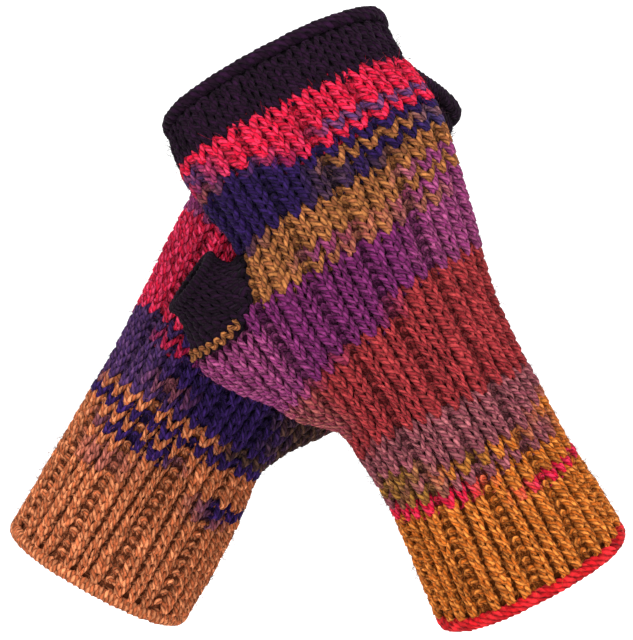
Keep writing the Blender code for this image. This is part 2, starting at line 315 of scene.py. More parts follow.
@dataclass(frozen=True)
class WornForm:
    """The form that a mitt is worn to: a table of rounds along a leaning straight axis."""

    lean: float
    thumb_to_right: bool
    crossing: float  # where the two mitts cross, along the axis
    depth: float
    rounds: tuple[tuple[float, ...], ...]

    @property
    def turning(self) -> int:
        """1 where the thumb is to the viewer's right, else -1."""
        return 1 if self.thumb_to_right else -1

    @property
    def fingers(self) -> Points:
        """The direction from the cuff to the fingers."""
        lean = math.radians(self.lean)
        return np.array([math.sin(lean), 0, math.cos(lean)])

    @property
    def to_thumb(self) -> Points:
        """The direction from the axis to the thumb."""
        lean = math.radians(self.lean)
        return np.array([math.cos(lean), 0, -math.sin(lean)]) * self.turning

    def round_at(self, along: Points) -> Round:
        """The round at distances along, on smooth curves through the table's rows.

        Args:
            along: The distances.

        Returns:
            The table's columns there.
        """
        table = np.array(self.rounds)
        slopes = np.gradient(table, table[:, 0], axis=0)
        along = np.asarray(along, float)
        row = np.clip(np.searchsorted(table[:, 0], along) - 1, 0, len(table) - 2)
        width = (table[row + 1, 0] - table[row, 0])[..., None]
        share = (along[..., None] - table[row, 0][..., None]) / width
        leave, arrive = width * slopes[row], width * slopes[row + 1]
        found = smooth(share, table[row], table[row + 1], leave, arrive)
        return Round(*np.moveaxis(found, -1, 0))

    def frame(self, along: Points) -> tuple[Round, Points, Points, Points]:
        """How the round lies at distances along.

        Args:
            along: The distances.

        Returns:
            The round, its centre, and its directions to the thumb's side and to the front.
        """
        here = self.round_at(along)
        slope = (self.round_at(along + 0.5).bow - self.round_at(along - 0.5).bow)[..., None]
        away = np.array([0.0, 1.0, 0.0])
        centre = (
            away * self.depth
            - self.fingers * self.crossing
            + self.fingers * np.asarray(along)[..., None]
            + self.to_thumb * here.across[..., None]
            + away * here.bow[..., None]
        )
        away = unit(away - self.fingers * slope)
        roll = np.radians(here.roll)[..., None]
        outwards = self.to_thumb * np.cos(roll) + away * np.sin(roll)
        forwards = self.to_thumb * np.sin(roll) - away * np.cos(roll)
        return here, centre, outwards, forwards

    def surface(self, turn: Points, along: Points) -> Points:
        """Points of the form.

        Args:
            turn: Turns from the thumb's side by way of the front.
            along: Distances along.

        Returns:
            The points.
        """
        turn, along = np.broadcast_arrays(np.asarray(turn, float), np.asarray(along, float))
        here, centre, outwards, forwards = self.frame(along)
        cos, sin, power = np.cos(turn), np.sin(turn), 2 / OVAL_POWER
        side = np.where(cos > 0, here.thumb_side, here.far_side)
        across = np.sign(cos) * side * np.abs(cos) ** power
        depth = np.sign(sin) * here.half_depth * np.abs(sin) ** power
        fall = here.droop * across / (here.thumb_side + here.far_side)
        return (
            centre
            + outwards * across[..., None]
            + forwards * depth[..., None]
            - self.fingers * fall[..., None]
        )

    def normal(self, turn: Points, along: Points) -> Points:
        """The directions square to the form, outwards.

        Args:
            turn: Turns from the thumb's side by way of the front.
            along: Distances along.

        Returns:
            Directions of length 1.
        """
        round_way = self.surface(turn + 0.01, along) - self.surface(turn - 0.01, along)
        up_way = self.surface(turn, along + 0.2) - self.surface(turn, along - 0.2)
        return unit(np.cross(round_way, up_way)) * -self.turning

    def lifted(self, turn: Points, along: Points, lift: Points) -> Points:
        """Points that stand off the form by lift, square to it."""
        return self.surface(turn, along) + self.normal(turn, along) * np.asarray(lift)[..., None]

    def arcs(self, along: float) -> tuple[Points, Points, float]:
        """The arc once round, from the middle of the back.

        Args:
            along: Where, along the axis.

        Returns:
            Turns, the arc to each of them, and the arc to the middle of the front.
        """
        sweep = np.linspace(-math.pi / 2, 1.5 * math.pi, ROUND_POINTS)
        points = self.surface(sweep, np.full(ROUND_POINTS, along))
        steps = np.linalg.norm(np.diff(points, axis=0), axis=1)
        arcs = np.concatenate([[0], np.cumsum(steps)])
        return sweep, arcs, float(np.interp(math.pi / 2, sweep, arcs))


# ---------------------------------------------------------------- yarn


@dataclass(frozen=True)
class Unevenness:
    """The spread of the small differences of hand knitting."""

    loop: float = 0.07  # of a loop's lean, depth and thickness, in shares
    head_sideways: float = 0.035  # in shares of a stitch's width
    head_up: float = 0.22
    yarn: float = 0.16  # of the yarn's way along a row
    girth: float = 0.06  # of its thickness along a row, in shares
    light: float = 0.14  # of a leg's brightness, in shares
    edge: float = 0.12  # of a rolled edge's strands


UNEVEN = Unevenness()


@dataclass(frozen=True)
class Gauge:
    """How one part of a mitt is knitted."""

    gutter: float  # width of a purl column, in shares of a rib
    ribs: float  # how far the plain columns stand out
    splay: float  # how far the legs of a loop lean, in shares of its width
    reach: float  # half a loop's height, in rows
    thick: float  # the yarn's half-width, in shares of a plain column
    flat: float  # its half-thickness
    depth: float  # how far the legs stand out before the heads, halved
    pinch: float  # how far a loop's legs are drawn together, in shares of its width


HAND = Gauge(0.1, ribs=1.3, splay=0.26, reach=1.0, thick=0.198, flat=1.15, depth=1.0, pinch=0.033)
CUFF = Gauge(0.17, ribs=1.2, splay=0.2, reach=0.97, thick=0.192, flat=1.15, depth=1.1, pinch=0.075)
BAND = Gauge(0.25, ribs=0.3, splay=0.24, reach=0.95, thick=0.235, flat=1.0, depth=0.85, pinch=0.0)
PLAIN_GUTTER = 0.22  # from here on, a part is plain all round
SWAY = ((0.4, 7.3, 0.36), (0.25, 3.1, -0.21))  # how far columns wander, and how fast it changes
LEVELS = 1.3  # rows between the rounds by which a column is kept straight
RIB_SHAPE = ((0, 0.45, 1.3, 2.7, 3.55, REPEAT), (0, 0.75, 1, 1, 0.75, 0))  # stitches, and lift


def mixed(low: Gauge, high: Gauge, share: float) -> Gauge:
    """A gauge between two others."""
    return Gauge(*(a + (b - a) * share for a, b in zip(vars(low).values(), vars(high).values())))


@dataclass(frozen=True)
class LoopShape:
    """What every loop has in common; shares are of the gauge's own sizes."""

    narrowest: float = 0.8  # of the yarn in a narrow column
    widest: float = 1.3
    head_width: float = 0.78
    head_depth: float = 0.85
    early: float = 0.72  # below 1, the legs stand out nearer their feet
    # painted shade on a loop's head and feet, which lie behind the legs, and how soon it gives way
    # along them
    head_shade: float = 0.55
    head_falloff: float = 1.4
    purl_splay: float = 0.1
    purl_reach: float = 0.55
    purl_width: float = 0.95
    purl_depth: float = 0.8
    purl_sunk: float = 0.5  # how far a purl bar lies in, at the least
    purl_feet: float = 0.7  # how much farther in its feet lie, halved
    purl_light: tuple[float, float] = (0.1, 2)  # painted shade in a purl gutter, as its light: at least, and more for a wider gutter
    bar_light: float = 0.6  # how much more light its bar gets than its feet, halved
    hole_edge: float = 0.9  # of the hole's size, where the knitting stops


LOOP = LoopShape()


@dataclass
class Strand:
    """Centre points of one piece of yarn in order, with what its tube needs at each."""

    centres: Points
    normals: Points
    half_width: Any
    half_depth: Any
    knitted: Any  # place along the mitt's yarn, in rows
    shade: Any  # how much light reaches it between its neighbours
    kept: Any = True  # whether the tube runs on to the next point
    closed: bool = True


class Tube:
    """Collects strands and makes one mesh of their tubes."""

    def __init__(self, stripes: Stripes, seed: int, sides: int = RING_SIDES) -> None:
        """Starts empty.

        Args:
            stripes: The colours along the yarn.
            seed: For the small differences from stitch to stitch.
            sides: Sides of the tube.
        """
        self.stripes = stripes
        self.sides = sides
        self.random = np.random.default_rng(seed)
        self.points: list[Points] = []
        self.faces: list[Points] = []
        self.uvs: list[Points] = []
        self.colours: tuple[list[Points], list[Points]] = ([], [])
        self.count = 0

    def add(self, strand: Strand) -> None:
        """Adds the tube of one strand.

        Args:
            strand: The strand.
        """
        centres = strand.centres
        number = len(centres)
        if strand.closed:
            tangent = unit(np.roll(centres, -1, axis=0) - np.roll(centres, 1, axis=0))
        else:
            tangent = unit(np.gradient(centres, axis=0))
        side = unit(np.cross(tangent, strand.normals))
        up = np.cross(side, tangent)
        angle = np.arange(self.sides) / self.sides * TURN - math.pi / 2
        wide = np.broadcast_to(strand.half_width, number)[:, None, None]
        deep = np.broadcast_to(strand.half_depth, number)[:, None, None]
        ring = (
            centres[:, None]
            + side[:, None] * (np.cos(angle)[:, None] * wide)
            + up[:, None] * (np.sin(angle)[:, None] * deep)
        )
        start = np.nonzero(np.broadcast_to(strand.kept, number))[0]
        if not strand.closed:
            start = start[start < number - 1]
        around = np.arange(self.sides)
        over = (around + 1) % self.sides
        low, high = (point[:, None] * self.sides for point in (start, (start + 1) % number))
        faces = np.stack([low + around, low + over, high + over, high + around], axis=-1)
        steps = np.linalg.norm(np.roll(centres, -1, axis=0) - centres, axis=1)
        length = np.concatenate([[0], np.cumsum(steps)])
        left = np.broadcast_to(around / self.sides, (len(start), self.sides))
        right = left + 1 / self.sides
        low, high = (np.broadcast_to(length[at][:, None], left.shape) for at in (start, start + 1))
        uv = np.stack([left, low, right, low, right, high, left, high], axis=-1)
        self.points.append(ring.reshape(-1, 3))
        self.faces.append(faces.reshape(-1, 4) + self.count)
        self.uvs.append(uv.reshape(-1, 2))
        leg = STEPS // 2
        light = 1 + UNEVEN.light * self.random.standard_normal(number // leg + 1)
        light = np.repeat(light, leg)[:number] * strand.shade
        outer = 0.66 + 0.34 * np.sin(angle)  # painted shade: a tube is darker behind
        light = np.clip(light[:, None] * outer, 0, None).reshape(-1, 1)
        knitted = np.broadcast_to(strand.knitted, number)
        # Each ply's dye times this light: painted shade, with a random tone per leg.
        for ply, colours in enumerate(self.colours):
            colours.append(np.repeat(self.stripes.at(knitted, ply), self.sides, axis=0) * light)
        self.count += number * self.sides

    def build(self, name: str) -> bpy.types.Object:
        """Makes the object, with its UVs along the yarn and its two ply colours, painted shade
        included.

        Args:
            name: Its name.

        Returns:
            The object.
        """
        used, faces = np.unique(np.concatenate(self.faces), return_inverse=True)
        points = np.concatenate(self.points)[used] * MM
        mesh = bpy.data.meshes.new(name)
        mesh.vertices.add(len(used))
        mesh.vertices.foreach_set("co", points.astype(np.float32).ravel())
        mesh.loops.add(faces.size)
        mesh.loops.foreach_set("vertex_index", faces.astype(np.int32).ravel())
        mesh.polygons.add(faces.size // 4)
        mesh.polygons.foreach_set("loop_start", np.arange(0, faces.size, 4, dtype=np.int32))
        mesh.polygons.foreach_set("use_smooth", np.ones(faces.size // 4, bool))
        mesh.update(calc_edges=True)
        layer = mesh.uv_layers.new(name="yarn")
        layer.data.foreach_set("uv", np.concatenate(self.uvs).astype(np.float32).ravel())
        for title, colours in zip(PLIES, self.colours):
            paint(mesh, title, np.clip(np.concatenate(colours)[used], 0, 1))
        return placed(name, mesh)


# ---------------------------------------------------------------- finishes


class Value:
    """A socket with a number or vector in it, for maths in Python expressions."""

    def __init__(self, nodes: "Graph", socket: bpy.types.NodeSocket) -> None:
        """Wraps a socket.

        Args:
            nodes: The graph it is in.
            socket: The socket.
        """
        self.nodes = nodes
        self.socket = socket

    def _math(self, operation: str, *values: Any) -> "Value":
        """One Math node on these values."""
        return self.nodes.output("ShaderNodeMath", {"operation": operation}, dict(enumerate(values)))

    def __add__(self, other: Any) -> "Value":
        """self + other."""
        return self._math("ADD", self, other)

    __radd__ = __add__

    def __sub__(self, other: Any) -> "Value":
        """self - other."""
        return self._math("SUBTRACT", self, other)

    def __rsub__(self, other: Any) -> "Value":
        """other - self."""
        return self._math("SUBTRACT", other, self)

    def __mul__(self, other: Any) -> "Value":
        """self * other."""
        return self._math("MULTIPLY", self, other)

    __rmul__ = __mul__

    def fraction(self) -> "Value":
        """What is left over whole numbers."""
        return self._math("FRACT", self)

    def above(self, other: Any) -> "Value":
        """1 where self is greater, else 0."""
        return self._math("GREATER_THAN", self, other)

    def beside(self, out: int) -> "Value":
        """Another output of the node that this one comes from."""
        return Value(self.nodes, self.socket.node.outputs[out])


class Graph:
    """A material's node tree."""

    def __init__(self, name: str) -> None:
        """Starts a material with its shader alone.

        Args:
            name: Its name.
        """
        self.material = bpy.data.materials.new(name)
        self.material.use_nodes = True
        self.tree = self.material.node_tree

    def output(
        self, kind: str, settings: dict[str, Any], inputs: dict[Any, Any], out: Any = 0
    ) -> Value:
        """Adds a node and gives one of its outputs.

        Args:
            kind: The node's type.
            settings: Its properties, set first.
            inputs: Values or Values to link, by socket name or number.
            out: The output's name or number.

        Returns:
            The output.
        """
        node = self.tree.nodes.new(kind)
        for key, value in settings.items():
            setattr(node, key, value)
        self.feed(node, inputs)
        return Value(self, node.outputs[out])

    def feed(self, node: bpy.types.Node, inputs: dict[Any, Any]) -> None:
        """Fills sockets of a node.

        Args:
            node: The node.
            inputs: Plain values to set or Values to link, by socket name or number.
        """
        for key, value in inputs.items():
            if isinstance(value, Value):
                self.tree.links.new(value.socket, node.inputs[key])
            else:
                node.inputs[key].default_value = value

    def dress(self, inputs: dict[str, Any]) -> None:
        """Feeds the shader."""
        self.feed(self.tree.nodes["Principled BSDF"], inputs)

    def mixed(self, share: Any, first: Value, second: Value, mode: str = "MIX") -> Value:
        """Two colours through a Mix node."""
        settings = {"data_type": "RGBA", "blend_type": mode, "clamp_factor": True}
        return self.output("ShaderNodeMix", settings, {0: share, 6: first, 7: second}, 2)

    def shaded(self, colour: Value, shade: Value) -> Value:
        """A colour, brighter or darker by a number."""
        grey = self.output("ShaderNodeCombineXYZ", {}, {0: shade, 1: shade, 2: shade})
        return self.mixed(1.0, colour, grey, "MULTIPLY")

    def noise(self, place: Value, scale: float, roughness: float, sizes: str = "3D") -> Value:
        """Soft noise of three octaves."""
        inputs = {"Vector": place, "Scale": scale, "Detail": 3.0, "Roughness": roughness}
        return self.output("ShaderNodeTexNoise", {"noise_dimensions": sizes}, inputs)

    def bump(self, height: Value, lift: float, strength: float) -> Value:
        """The normals of a relief that lifts by so many millimetres."""
        inputs = {"Strength": strength, "Distance": lift * MM, "Height": height}
        return self.output("ShaderNodeBump", {}, inputs)

    def ply(self, title: str) -> Value:
        """The colour of one ply, stored at the mesh's points: its dye, with any painted shade."""
        return self.output("ShaderNodeAttribute", {"attribute_name": title}, {}, "Color")

    def place(self) -> Value:
        """The place on the object, in metres."""
        return self.output("ShaderNodeTexCoord", {}, {}, "Object")


@dataclass(frozen=True)
class PliedWool:
    """Soft two-ply wool, coloured by the yarn's own ply colours, with painted shade in the grooves
    between its plies.
    """

    plies: float = 4  # grooves round the yarn
    twist: float = 0.6  # plies that pass a line along the yarn, in each millimetre
    fibre: float = 5.0  # fibre streaks across one ply
    streak_length: float = 0.55  # streaks along the yarn, in each millimetre
    contrast: float = 0.9  # how much of its own dye each ply keeps, more than of the other's
    light: float = 1.06  # painted light on the middle of a ply
    groove_shade: float = 0.72
    streak_shade: float = 1.25
    patch_shade: float = 1.5
    patch_scale: float = 520.0
    lift: float = 0.5

    def material(self) -> None:
        """Makes the finish."""
        graph = Graph(YARN_FINISH)
        uv = graph.output("ShaderNodeUVMap", {"uv_map": "yarn"}, {})
        around = graph.output("ShaderNodeSeparateXYZ", {}, {0: uv})
        along = around.beside(1)
        phase = around * self.plies - along * self.twist
        across = phase.fraction() * 2.0 - 1.0
        lobe = 1.0 - across * across
        fibres = {0: phase * self.fibre, 1: along * self.streak_length, 2: 0.0}
        streak = graph.noise(graph.output("ShaderNodeCombineXYZ", {}, fibres), 1.0, 0.65, "2D")
        patches = graph.noise(graph.place(), self.patch_scale, 0.6)
        which = (phase * 0.5).fraction().above(0.5)
        share = which * self.contrast + (1 - self.contrast) / 2
        yarn = graph.mixed(share, graph.ply(PLIES[0]), graph.ply(PLIES[1]))
        shade = (
            (self.light - self.groove_shade)
            + lobe * self.groove_shade
            + (streak - 0.5) * self.streak_shade
            + (patches - 0.5) * self.patch_shade
        )
        graph.dress(
            {
                "Base Color": graph.shaded(yarn, shade),
                "Normal": graph.bump(lobe * 0.7 + streak * 0.7, self.lift, 1.0),
                "Roughness": 0.88 - streak * 0.14,
                "Specular IOR Level": 0.06,
                "Sheen Weight": 0.02,
                "Sheen Roughness": 0.5,
            }
        )


@dataclass(frozen=True)
class PaintedShadeCloth:
    """The sheet between the loops, in painted shade: the colour of the yarn beside it, darkened."""

    scale: float = 900.0
    lift: float = 0.3
    darkest: float = 0.06
    range: float = 0.2

    def material(self) -> None:
        """Makes the finish."""
        graph = Graph(SHADE_CLOTH_FINISH)
        mottle = graph.noise(graph.place(), self.scale, 0.5)
        graph.dress(
            {
                "Base Color": graph.shaded(graph.ply(PLIES[0]), mottle * self.range + self.darkest),
                "Normal": graph.bump(mottle, self.lift, 0.6),
                "Roughness": 0.95,
                "Specular IOR Level": 0.1,
            }
        )


# ---------------------------------------------------------------- knitting


@dataclass(frozen=True)
class Ends:
    """Where each piece of a worn mitt ends, from the cuff's edge."""

    cuff_edge: float
    cuff: float
    hand: float
    finger_band: float
    finger_edge: float

    def span(self, part: str) -> tuple[float, float]:
        """Where the rows of a part start and end.

        Args:
            part: cuff, hand or finger_band, or all for the three together.

        Returns:
            The two distances along.
        """
        return {
            "cuff": (self.cuff_edge, self.cuff),
            "hand": (self.cuff, self.hand),
            "finger_band": (self.hand, self.finger_band),
            "all": (self.cuff_edge, self.finger_band),
        }[part]


@dataclass(frozen=True)
class ThumbTube:
    """The short thumb: its open rim, in the frame of the round that it stands beside."""

    rim_along: float
    rim_out: float
    lean: tuple[float, float, float]
    rim_radius: float = 11.2
    turn_in: float = 9
    turn_out: float = 14
    edge_size: float = 0.95  # of the hole where it starts
    edge_lift: float = 0.9
    columns: int = 16
    rows: int = 6
    flat: float = 1.05  # the yarn's half-thickness
    depth: float = 0.8  # how far the legs stand out before the heads, halved
    splay: float = 0.22
    reach: float = 0.95  # half a loop's height, in rows
    thick: float = 0.25  # the yarn's half-width, in shares of a column
    widths: tuple[float, float] = (3.6, 7)  # the narrowest and widest column
    uneven: float = 0.05
    rim: float = 1.25  # half-thickness of the rim's strands
    rim_steps: int = 10  # in each of its windings
    rim_middle: float = 0.965  # of the way from the hand
    rim_rise: float = 0.045
    shade: float = 0.68


@dataclass(frozen=True)
class PickUp:
    """The row of small loops at the hole's lower edge, from which the thumb is knitted."""

    angles: tuple[float, float]  # of the hole's edge, where it starts and ends
    loop: float = 3.3  # along the edge
    half_height: float = 1.2
    uneven: float = 0.12
    half_width: float = 0.82
    half_depth: float = 0.75
    edge_size: float = 0.9  # of the hole
    lift: float = 0.9


@dataclass(frozen=True)
class Halo:
    """The loose fibres of a mitt."""

    fibres: int = 6000
    lengths: tuple[float, float] = (2.2, 6.0)
    root: tuple[float, float] = (-0.4, 0.3)  # how far out they start, and its spread
    curl: float = 0.25
    rise: float = 3.4
    half_width: float = 0.06
    light: float = 1.15
    clear: float = 1.12  # of the thumb hole's size, without fibres


@dataclass(frozen=True)
class RolledEdge:
    """A rolled edge of two strands wound round the tube's end."""

    part: str
    low: float
    high: float
    row: float  # its place along the yarn, in rows
    top: float = 1.1  # how far it stands out
    thick: float = 1.5  # half-thickness of its strands
    windings: int = 42
    steps: int = 10  # in each winding


class Course(NamedTuple):
    """One row of knitting."""

    along: float
    pitch: float
    row: int
    gauge: Gauge


@dataclass
class Mitt:
    """One mitt: its worn form, its knitting and its colours."""

    name: str
    form: WornForm
    first_gutter: int
    ends: Ends
    hole: ThumbHole
    thumb: ThumbTube
    stripes: Stripes
    slots: dict[str, str]  # those of the dark parts are left out
    seed: int
    pitches: tuple[tuple[float, float], ...]  # places along, and the height of a row there
    flats: dict[str, tuple[float, float]]
    pick_up: PickUp | None = None  # where it shows
    cuff_fade: tuple[float, float] = (-6, 20)  # past its end, where it becomes the hand
    band_fade: tuple[float, float] = (1, 3)

    def courses(self, part: str) -> list[Course]:
        """The rows of a part, from the cuff's side up.

        Args:
            part: cuff, hand or finger_band, or all for the three together.

        Returns:
            The rows.
        """
        low, high = self.ends.span(part)
        fine = np.linspace(*self.ends.span("all"), 2001)
        pitch = np.interp(fine, *np.array(self.pitches).T)
        steps = (fine[1] - fine[0]) * (1 / pitch[1:] + 1 / pitch[:-1]) / 2
        rows = np.concatenate([[0], np.cumsum(steps)])
        count = round(rows[-1])
        edges = np.interp(np.arange(count + 1) * rows[-1] / count, rows, fine)
        made = []
        for row in range(count):
            along = (edges[row] + edges[row + 1]) / 2
            if low <= along < high:
                to_hand = np.interp(along - self.ends.cuff, self.cuff_fade, (0, 1))
                to_band = np.interp(along - self.ends.hand, self.band_fade, (0, 1))
                gauge = mixed(mixed(CUFF, HAND, to_hand), BAND, to_band)
                made.append(Course(along, edges[row + 1] - edges[row], row, gauge))
        return made

    def boundaries(self, course: Course) -> tuple[Points, Points, Points, tuple[float, float]]:
        """Where the columns of a row start.

        Args:
            course: The row.

        Returns:
            Arcs from the middle of the back with the whole round last, the place of each column
            in the round, which columns are purl, and the arcs between which the gusset's added
            columns lie.
        """
        _, arcs, half = self.form.arcs(course.along)
        width = (arcs[-1] - half) / FAR_STITCHES
        gutter = REPEAT * course.gauge.gutter
        plain = (REPEAT - gutter) / (REPEAT - 1)
        rib = np.append(0, gutter + plain * np.arange(REPEAT - 1)) - gutter / 2
        edges = (self.first_gutter + REPEAT * np.arange(-4, 8)[:, None] + rib).ravel()
        purl = np.arange(len(edges)) % REPEAT == 0
        start = int(np.searchsorted(edges, BACK_PLACE + 0.01))
        edges, purl = edges[start : start + STITCHES + 1], purl[start : start + STITCHES]
        thumb = int(np.searchsorted(edges, 0.001)) - 1  # the column on the thumb's line
        before, after = edges[: thumb + 1], edges[thumb + 1 :]
        back, front = (before - BACK_PLACE) * width, half - (FRONT_PLACE - after) * width
        count = max(1, round((front[0] - back[-1]) / (plain * width)))
        added = np.linspace((back[-1], before[-1]), (front[0], after[0]), count + 1)[1:-1].T
        places = np.concatenate([before, added[1], after])
        purl = np.concatenate([purl[:thumb], np.zeros(count, bool), purl[thumb + 1 :]])
        purl = purl & (course.gauge.gutter <= PLAIN_GUTTER)
        column, row = places % STITCHES, course.row
        sway = sum(size * np.sin(across * column + up * row) for size, across, up in SWAY)
        return np.concatenate([back, added[0], front]) + sway, places, purl, (back[-1], front[0])

    def turns(
        self, course: Course, gusset: tuple[float, float], arc: Points, along: Points
    ) -> Points:
        """Turns of points of a row, whose columns keep straight up the cloth.

        Args:
            course: The row.
            gusset: The arcs between which the added columns lie.
            arc: Arcs of the points from the middle of the back, on the row's own round.
            along: Their distances along.

        Returns:
            The turns.
        """
        span = course.pitch * LEVELS
        rounds = [self.form.arcs(course.along + move) for move in (-span, 0.0, span)]
        _, own, own_half = rounds[1]
        moves = np.clip((arc - gusset[0]) / (gusset[1] - gusset[0]), 0, 1)
        found = []
        for sweep, table, half in rounds:
            far = (table[-1] - half) / (own[-1] - own_half)
            near_side = arc + (half - own_half) * moves
            there = np.where(arc < own_half, near_side, half + (arc - own_half) * far)
            wide = np.concatenate([table[:-1] - table[-1], table[:-1], table + table[-1]])
            turn = np.concatenate([sweep[:-1] - TURN, sweep[:-1], sweep + TURN])
            found.append(np.interp(there, wide, turn))
        up = (along - course.along) / span
        step = np.where(up > 0, found[2] - found[1], found[1] - found[0])
        return found[1] + step * up

    def relief(self, place: Points, gauge: Gauge) -> Points:
        """How far the ribs stand out at places in the round."""
        return np.interp((place - self.first_gutter) % REPEAT, *RIB_SHAPE) * gauge.ribs

    def knitted(self, row: Any, place: Points) -> Points:
        """Places along the yarn, in rows, of places in the round."""
        share = (place % STITCHES - FIRST_PLACE) / STITCHES
        return row + share * self.form.turning % 1.0

    @staticmethod
    def places(share: Points, arcs: Points, half: float) -> Points:
        """Places in the round at shares of its arc, from the middle of the back."""
        marks = (BACK_PLACE, FRONT_PLACE, BACK_PLACE + STITCHES)
        return np.interp(share, (0, half / arcs[-1], 1), marks)

    @staticmethod
    def wobble(random: np.random.Generator, stitches: int, size: float) -> Points:
        """Smooth small differences along a closed row of yarn.

        Args:
            random: Where the differences come from.
            stitches: Stitches in the row.
            size: Their spread.

        Returns:
            One value for every step of every stitch.
        """
        each = 3  # differences in a stitch
        knots = size * random.standard_normal(stitches * each)
        knots = np.append(knots, knots[0])
        place = np.arange(stitches * STEPS) * each / STEPS
        low = np.floor(place).astype(int)
        share = (1 - np.cos((place - low) * math.pi)) / 2
        return (knots[low] * (1 - share) + knots[low + 1] * share).reshape(stitches, STEPS)

    def row_strand(self, course: Course, random: np.random.Generator) -> Strand:
        """The yarn of one row.

        A loop's t runs from one foot at 0, up a leg, over the head at half a turn, and down the
        other leg. A purl loop shows the bar between two heads in place of its legs.

        Args:
            course: The row.
            random: For the small differences from stitch to stitch.

        Returns:
            The strand.
        """
        gauge = course.gauge
        arcs, places, purl, gusset = self.boundaries(course)
        number, widths = len(purl), np.diff(arcs)
        is_purl = purl[:, None]
        t = np.arange(STEPS) / STEPS * TURN
        head, leg = np.sin(t / 2) ** 2, np.sin(t) ** 2
        jitter = 1 + UNEVEN.loop * random.standard_normal((number, 3))
        lean, deep, thick = jitter[:, :1], jitter[:, 1:2], jitter[:, 2:]
        sideways = UNEVEN.head_sideways * random.standard_normal((number, 1)) * head
        splay = np.where(is_purl, LOOP.purl_splay, gauge.splay) * lean * np.sin(2 * t)
        pinch = np.where(is_purl, 0.0, gauge.pinch) * np.sin(t)
        x = t / TURN + splay + pinch + sideways
        place = places[:-1, None] + np.diff(places)[:, None] * x
        reach = gauge.reach * course.pitch * np.where(is_purl, LOOP.purl_reach, 1)
        along = course.along - reach * np.cos(t)
        along = along + UNEVEN.head_up * random.standard_normal((number, 1)) * head
        along = along + self.wobble(random, number, UNEVEN.yarn)
        arc = arcs[:-1, None] + widths[:, None] * x + self.wobble(random, number, UNEVEN.yarn)
        turn = self.turns(course, gusset, arc, along)
        # The legs stand out most near their feet, and the heads lie behind them in painted shade.
        to_head = np.cos((np.minimum(t, TURN - t) / math.pi) ** LOOP.early * TURN)
        knit = self.relief(place, gauge) - gauge.flat - gauge.depth * (1 + to_head) * deep
        bar = -LOOP.purl_sunk - LOOP.purl_feet * (1 + np.cos(t)) - leg
        lift = np.where(is_purl, bar, knit) + self.wobble(random, number, UNEVEN.yarn)
        plain = widths[~purl].mean()
        near = np.clip(widths, LOOP.narrowest * plain, LOOP.widest * plain)
        wide = np.where(purl, plain, near) * gauge.thick
        swell = LOOP.head_width + (1 - LOOP.head_width) * leg
        half_width = wide[:, None] * np.where(is_purl, LOOP.purl_width, swell) * thick
        half_width = half_width * (1 + self.wobble(random, number, UNEVEN.girth))
        swell = LOOP.head_depth + (1 - LOOP.head_depth) * leg
        half_depth = gauge.flat * np.where(is_purl, LOOP.purl_depth, swell)
        least, more = LOOP.purl_light
        gutter_shade = (least + more * gauge.gutter) * (1 + LOOP.bar_light * (1 - np.cos(t)))
        plain_shade = 1 - LOOP.head_shade * (0.5 + 0.5 * to_head) ** LOOP.head_falloff
        shade = np.where(is_purl, gutter_shade, plain_shade)
        kept = np.repeat(self.hole.size(turn, along).min(axis=1) > LOOP.hole_edge, STEPS)
        turn, along = turn.ravel(), along.ravel()
        return Strand(
            self.form.lifted(turn, along, lift.ravel()),
            self.form.normal(turn, along),
            half_width.ravel(),
            half_depth.ravel(),
            self.knitted(course.row, place.ravel()),
            shade.ravel(),
            kept,
        )

    def knit(self, part: str, courses: list[Course], title: str) -> bpy.types.Object:
        """The yarn of some rows, as one piece.

        Args:
            part: The part it belongs to.
            courses: Its rows.
            title: The piece's name after the mitt's.

        Returns:
            The piece.
        """
        tube = Tube(self.stripes, self.seed + courses[0].row)
        random = np.random.default_rng(self.seed * 100 + courses[0].row)
        for course in courses:
            tube.add(self.row_strand(course, random))
        return self.kept(tube.build(f"{self.name}_{title}_yarn"), YARN_FINISH, part)

    def kept(self, piece: bpy.types.Object, finish: str, part: str) -> bpy.types.Object:
        """Dresses a piece, lets it ride and reports it.

        Args:
            piece: The piece.
            finish: The name of its material.
            part: The part it belongs to. Not used.

        Returns:
            The piece.
        """
        piece.data.materials.append(bpy.data.materials[finish])
        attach(piece, "root")
        log.info("%s: %d faces", piece.name, len(piece.data.polygons))
        return piece

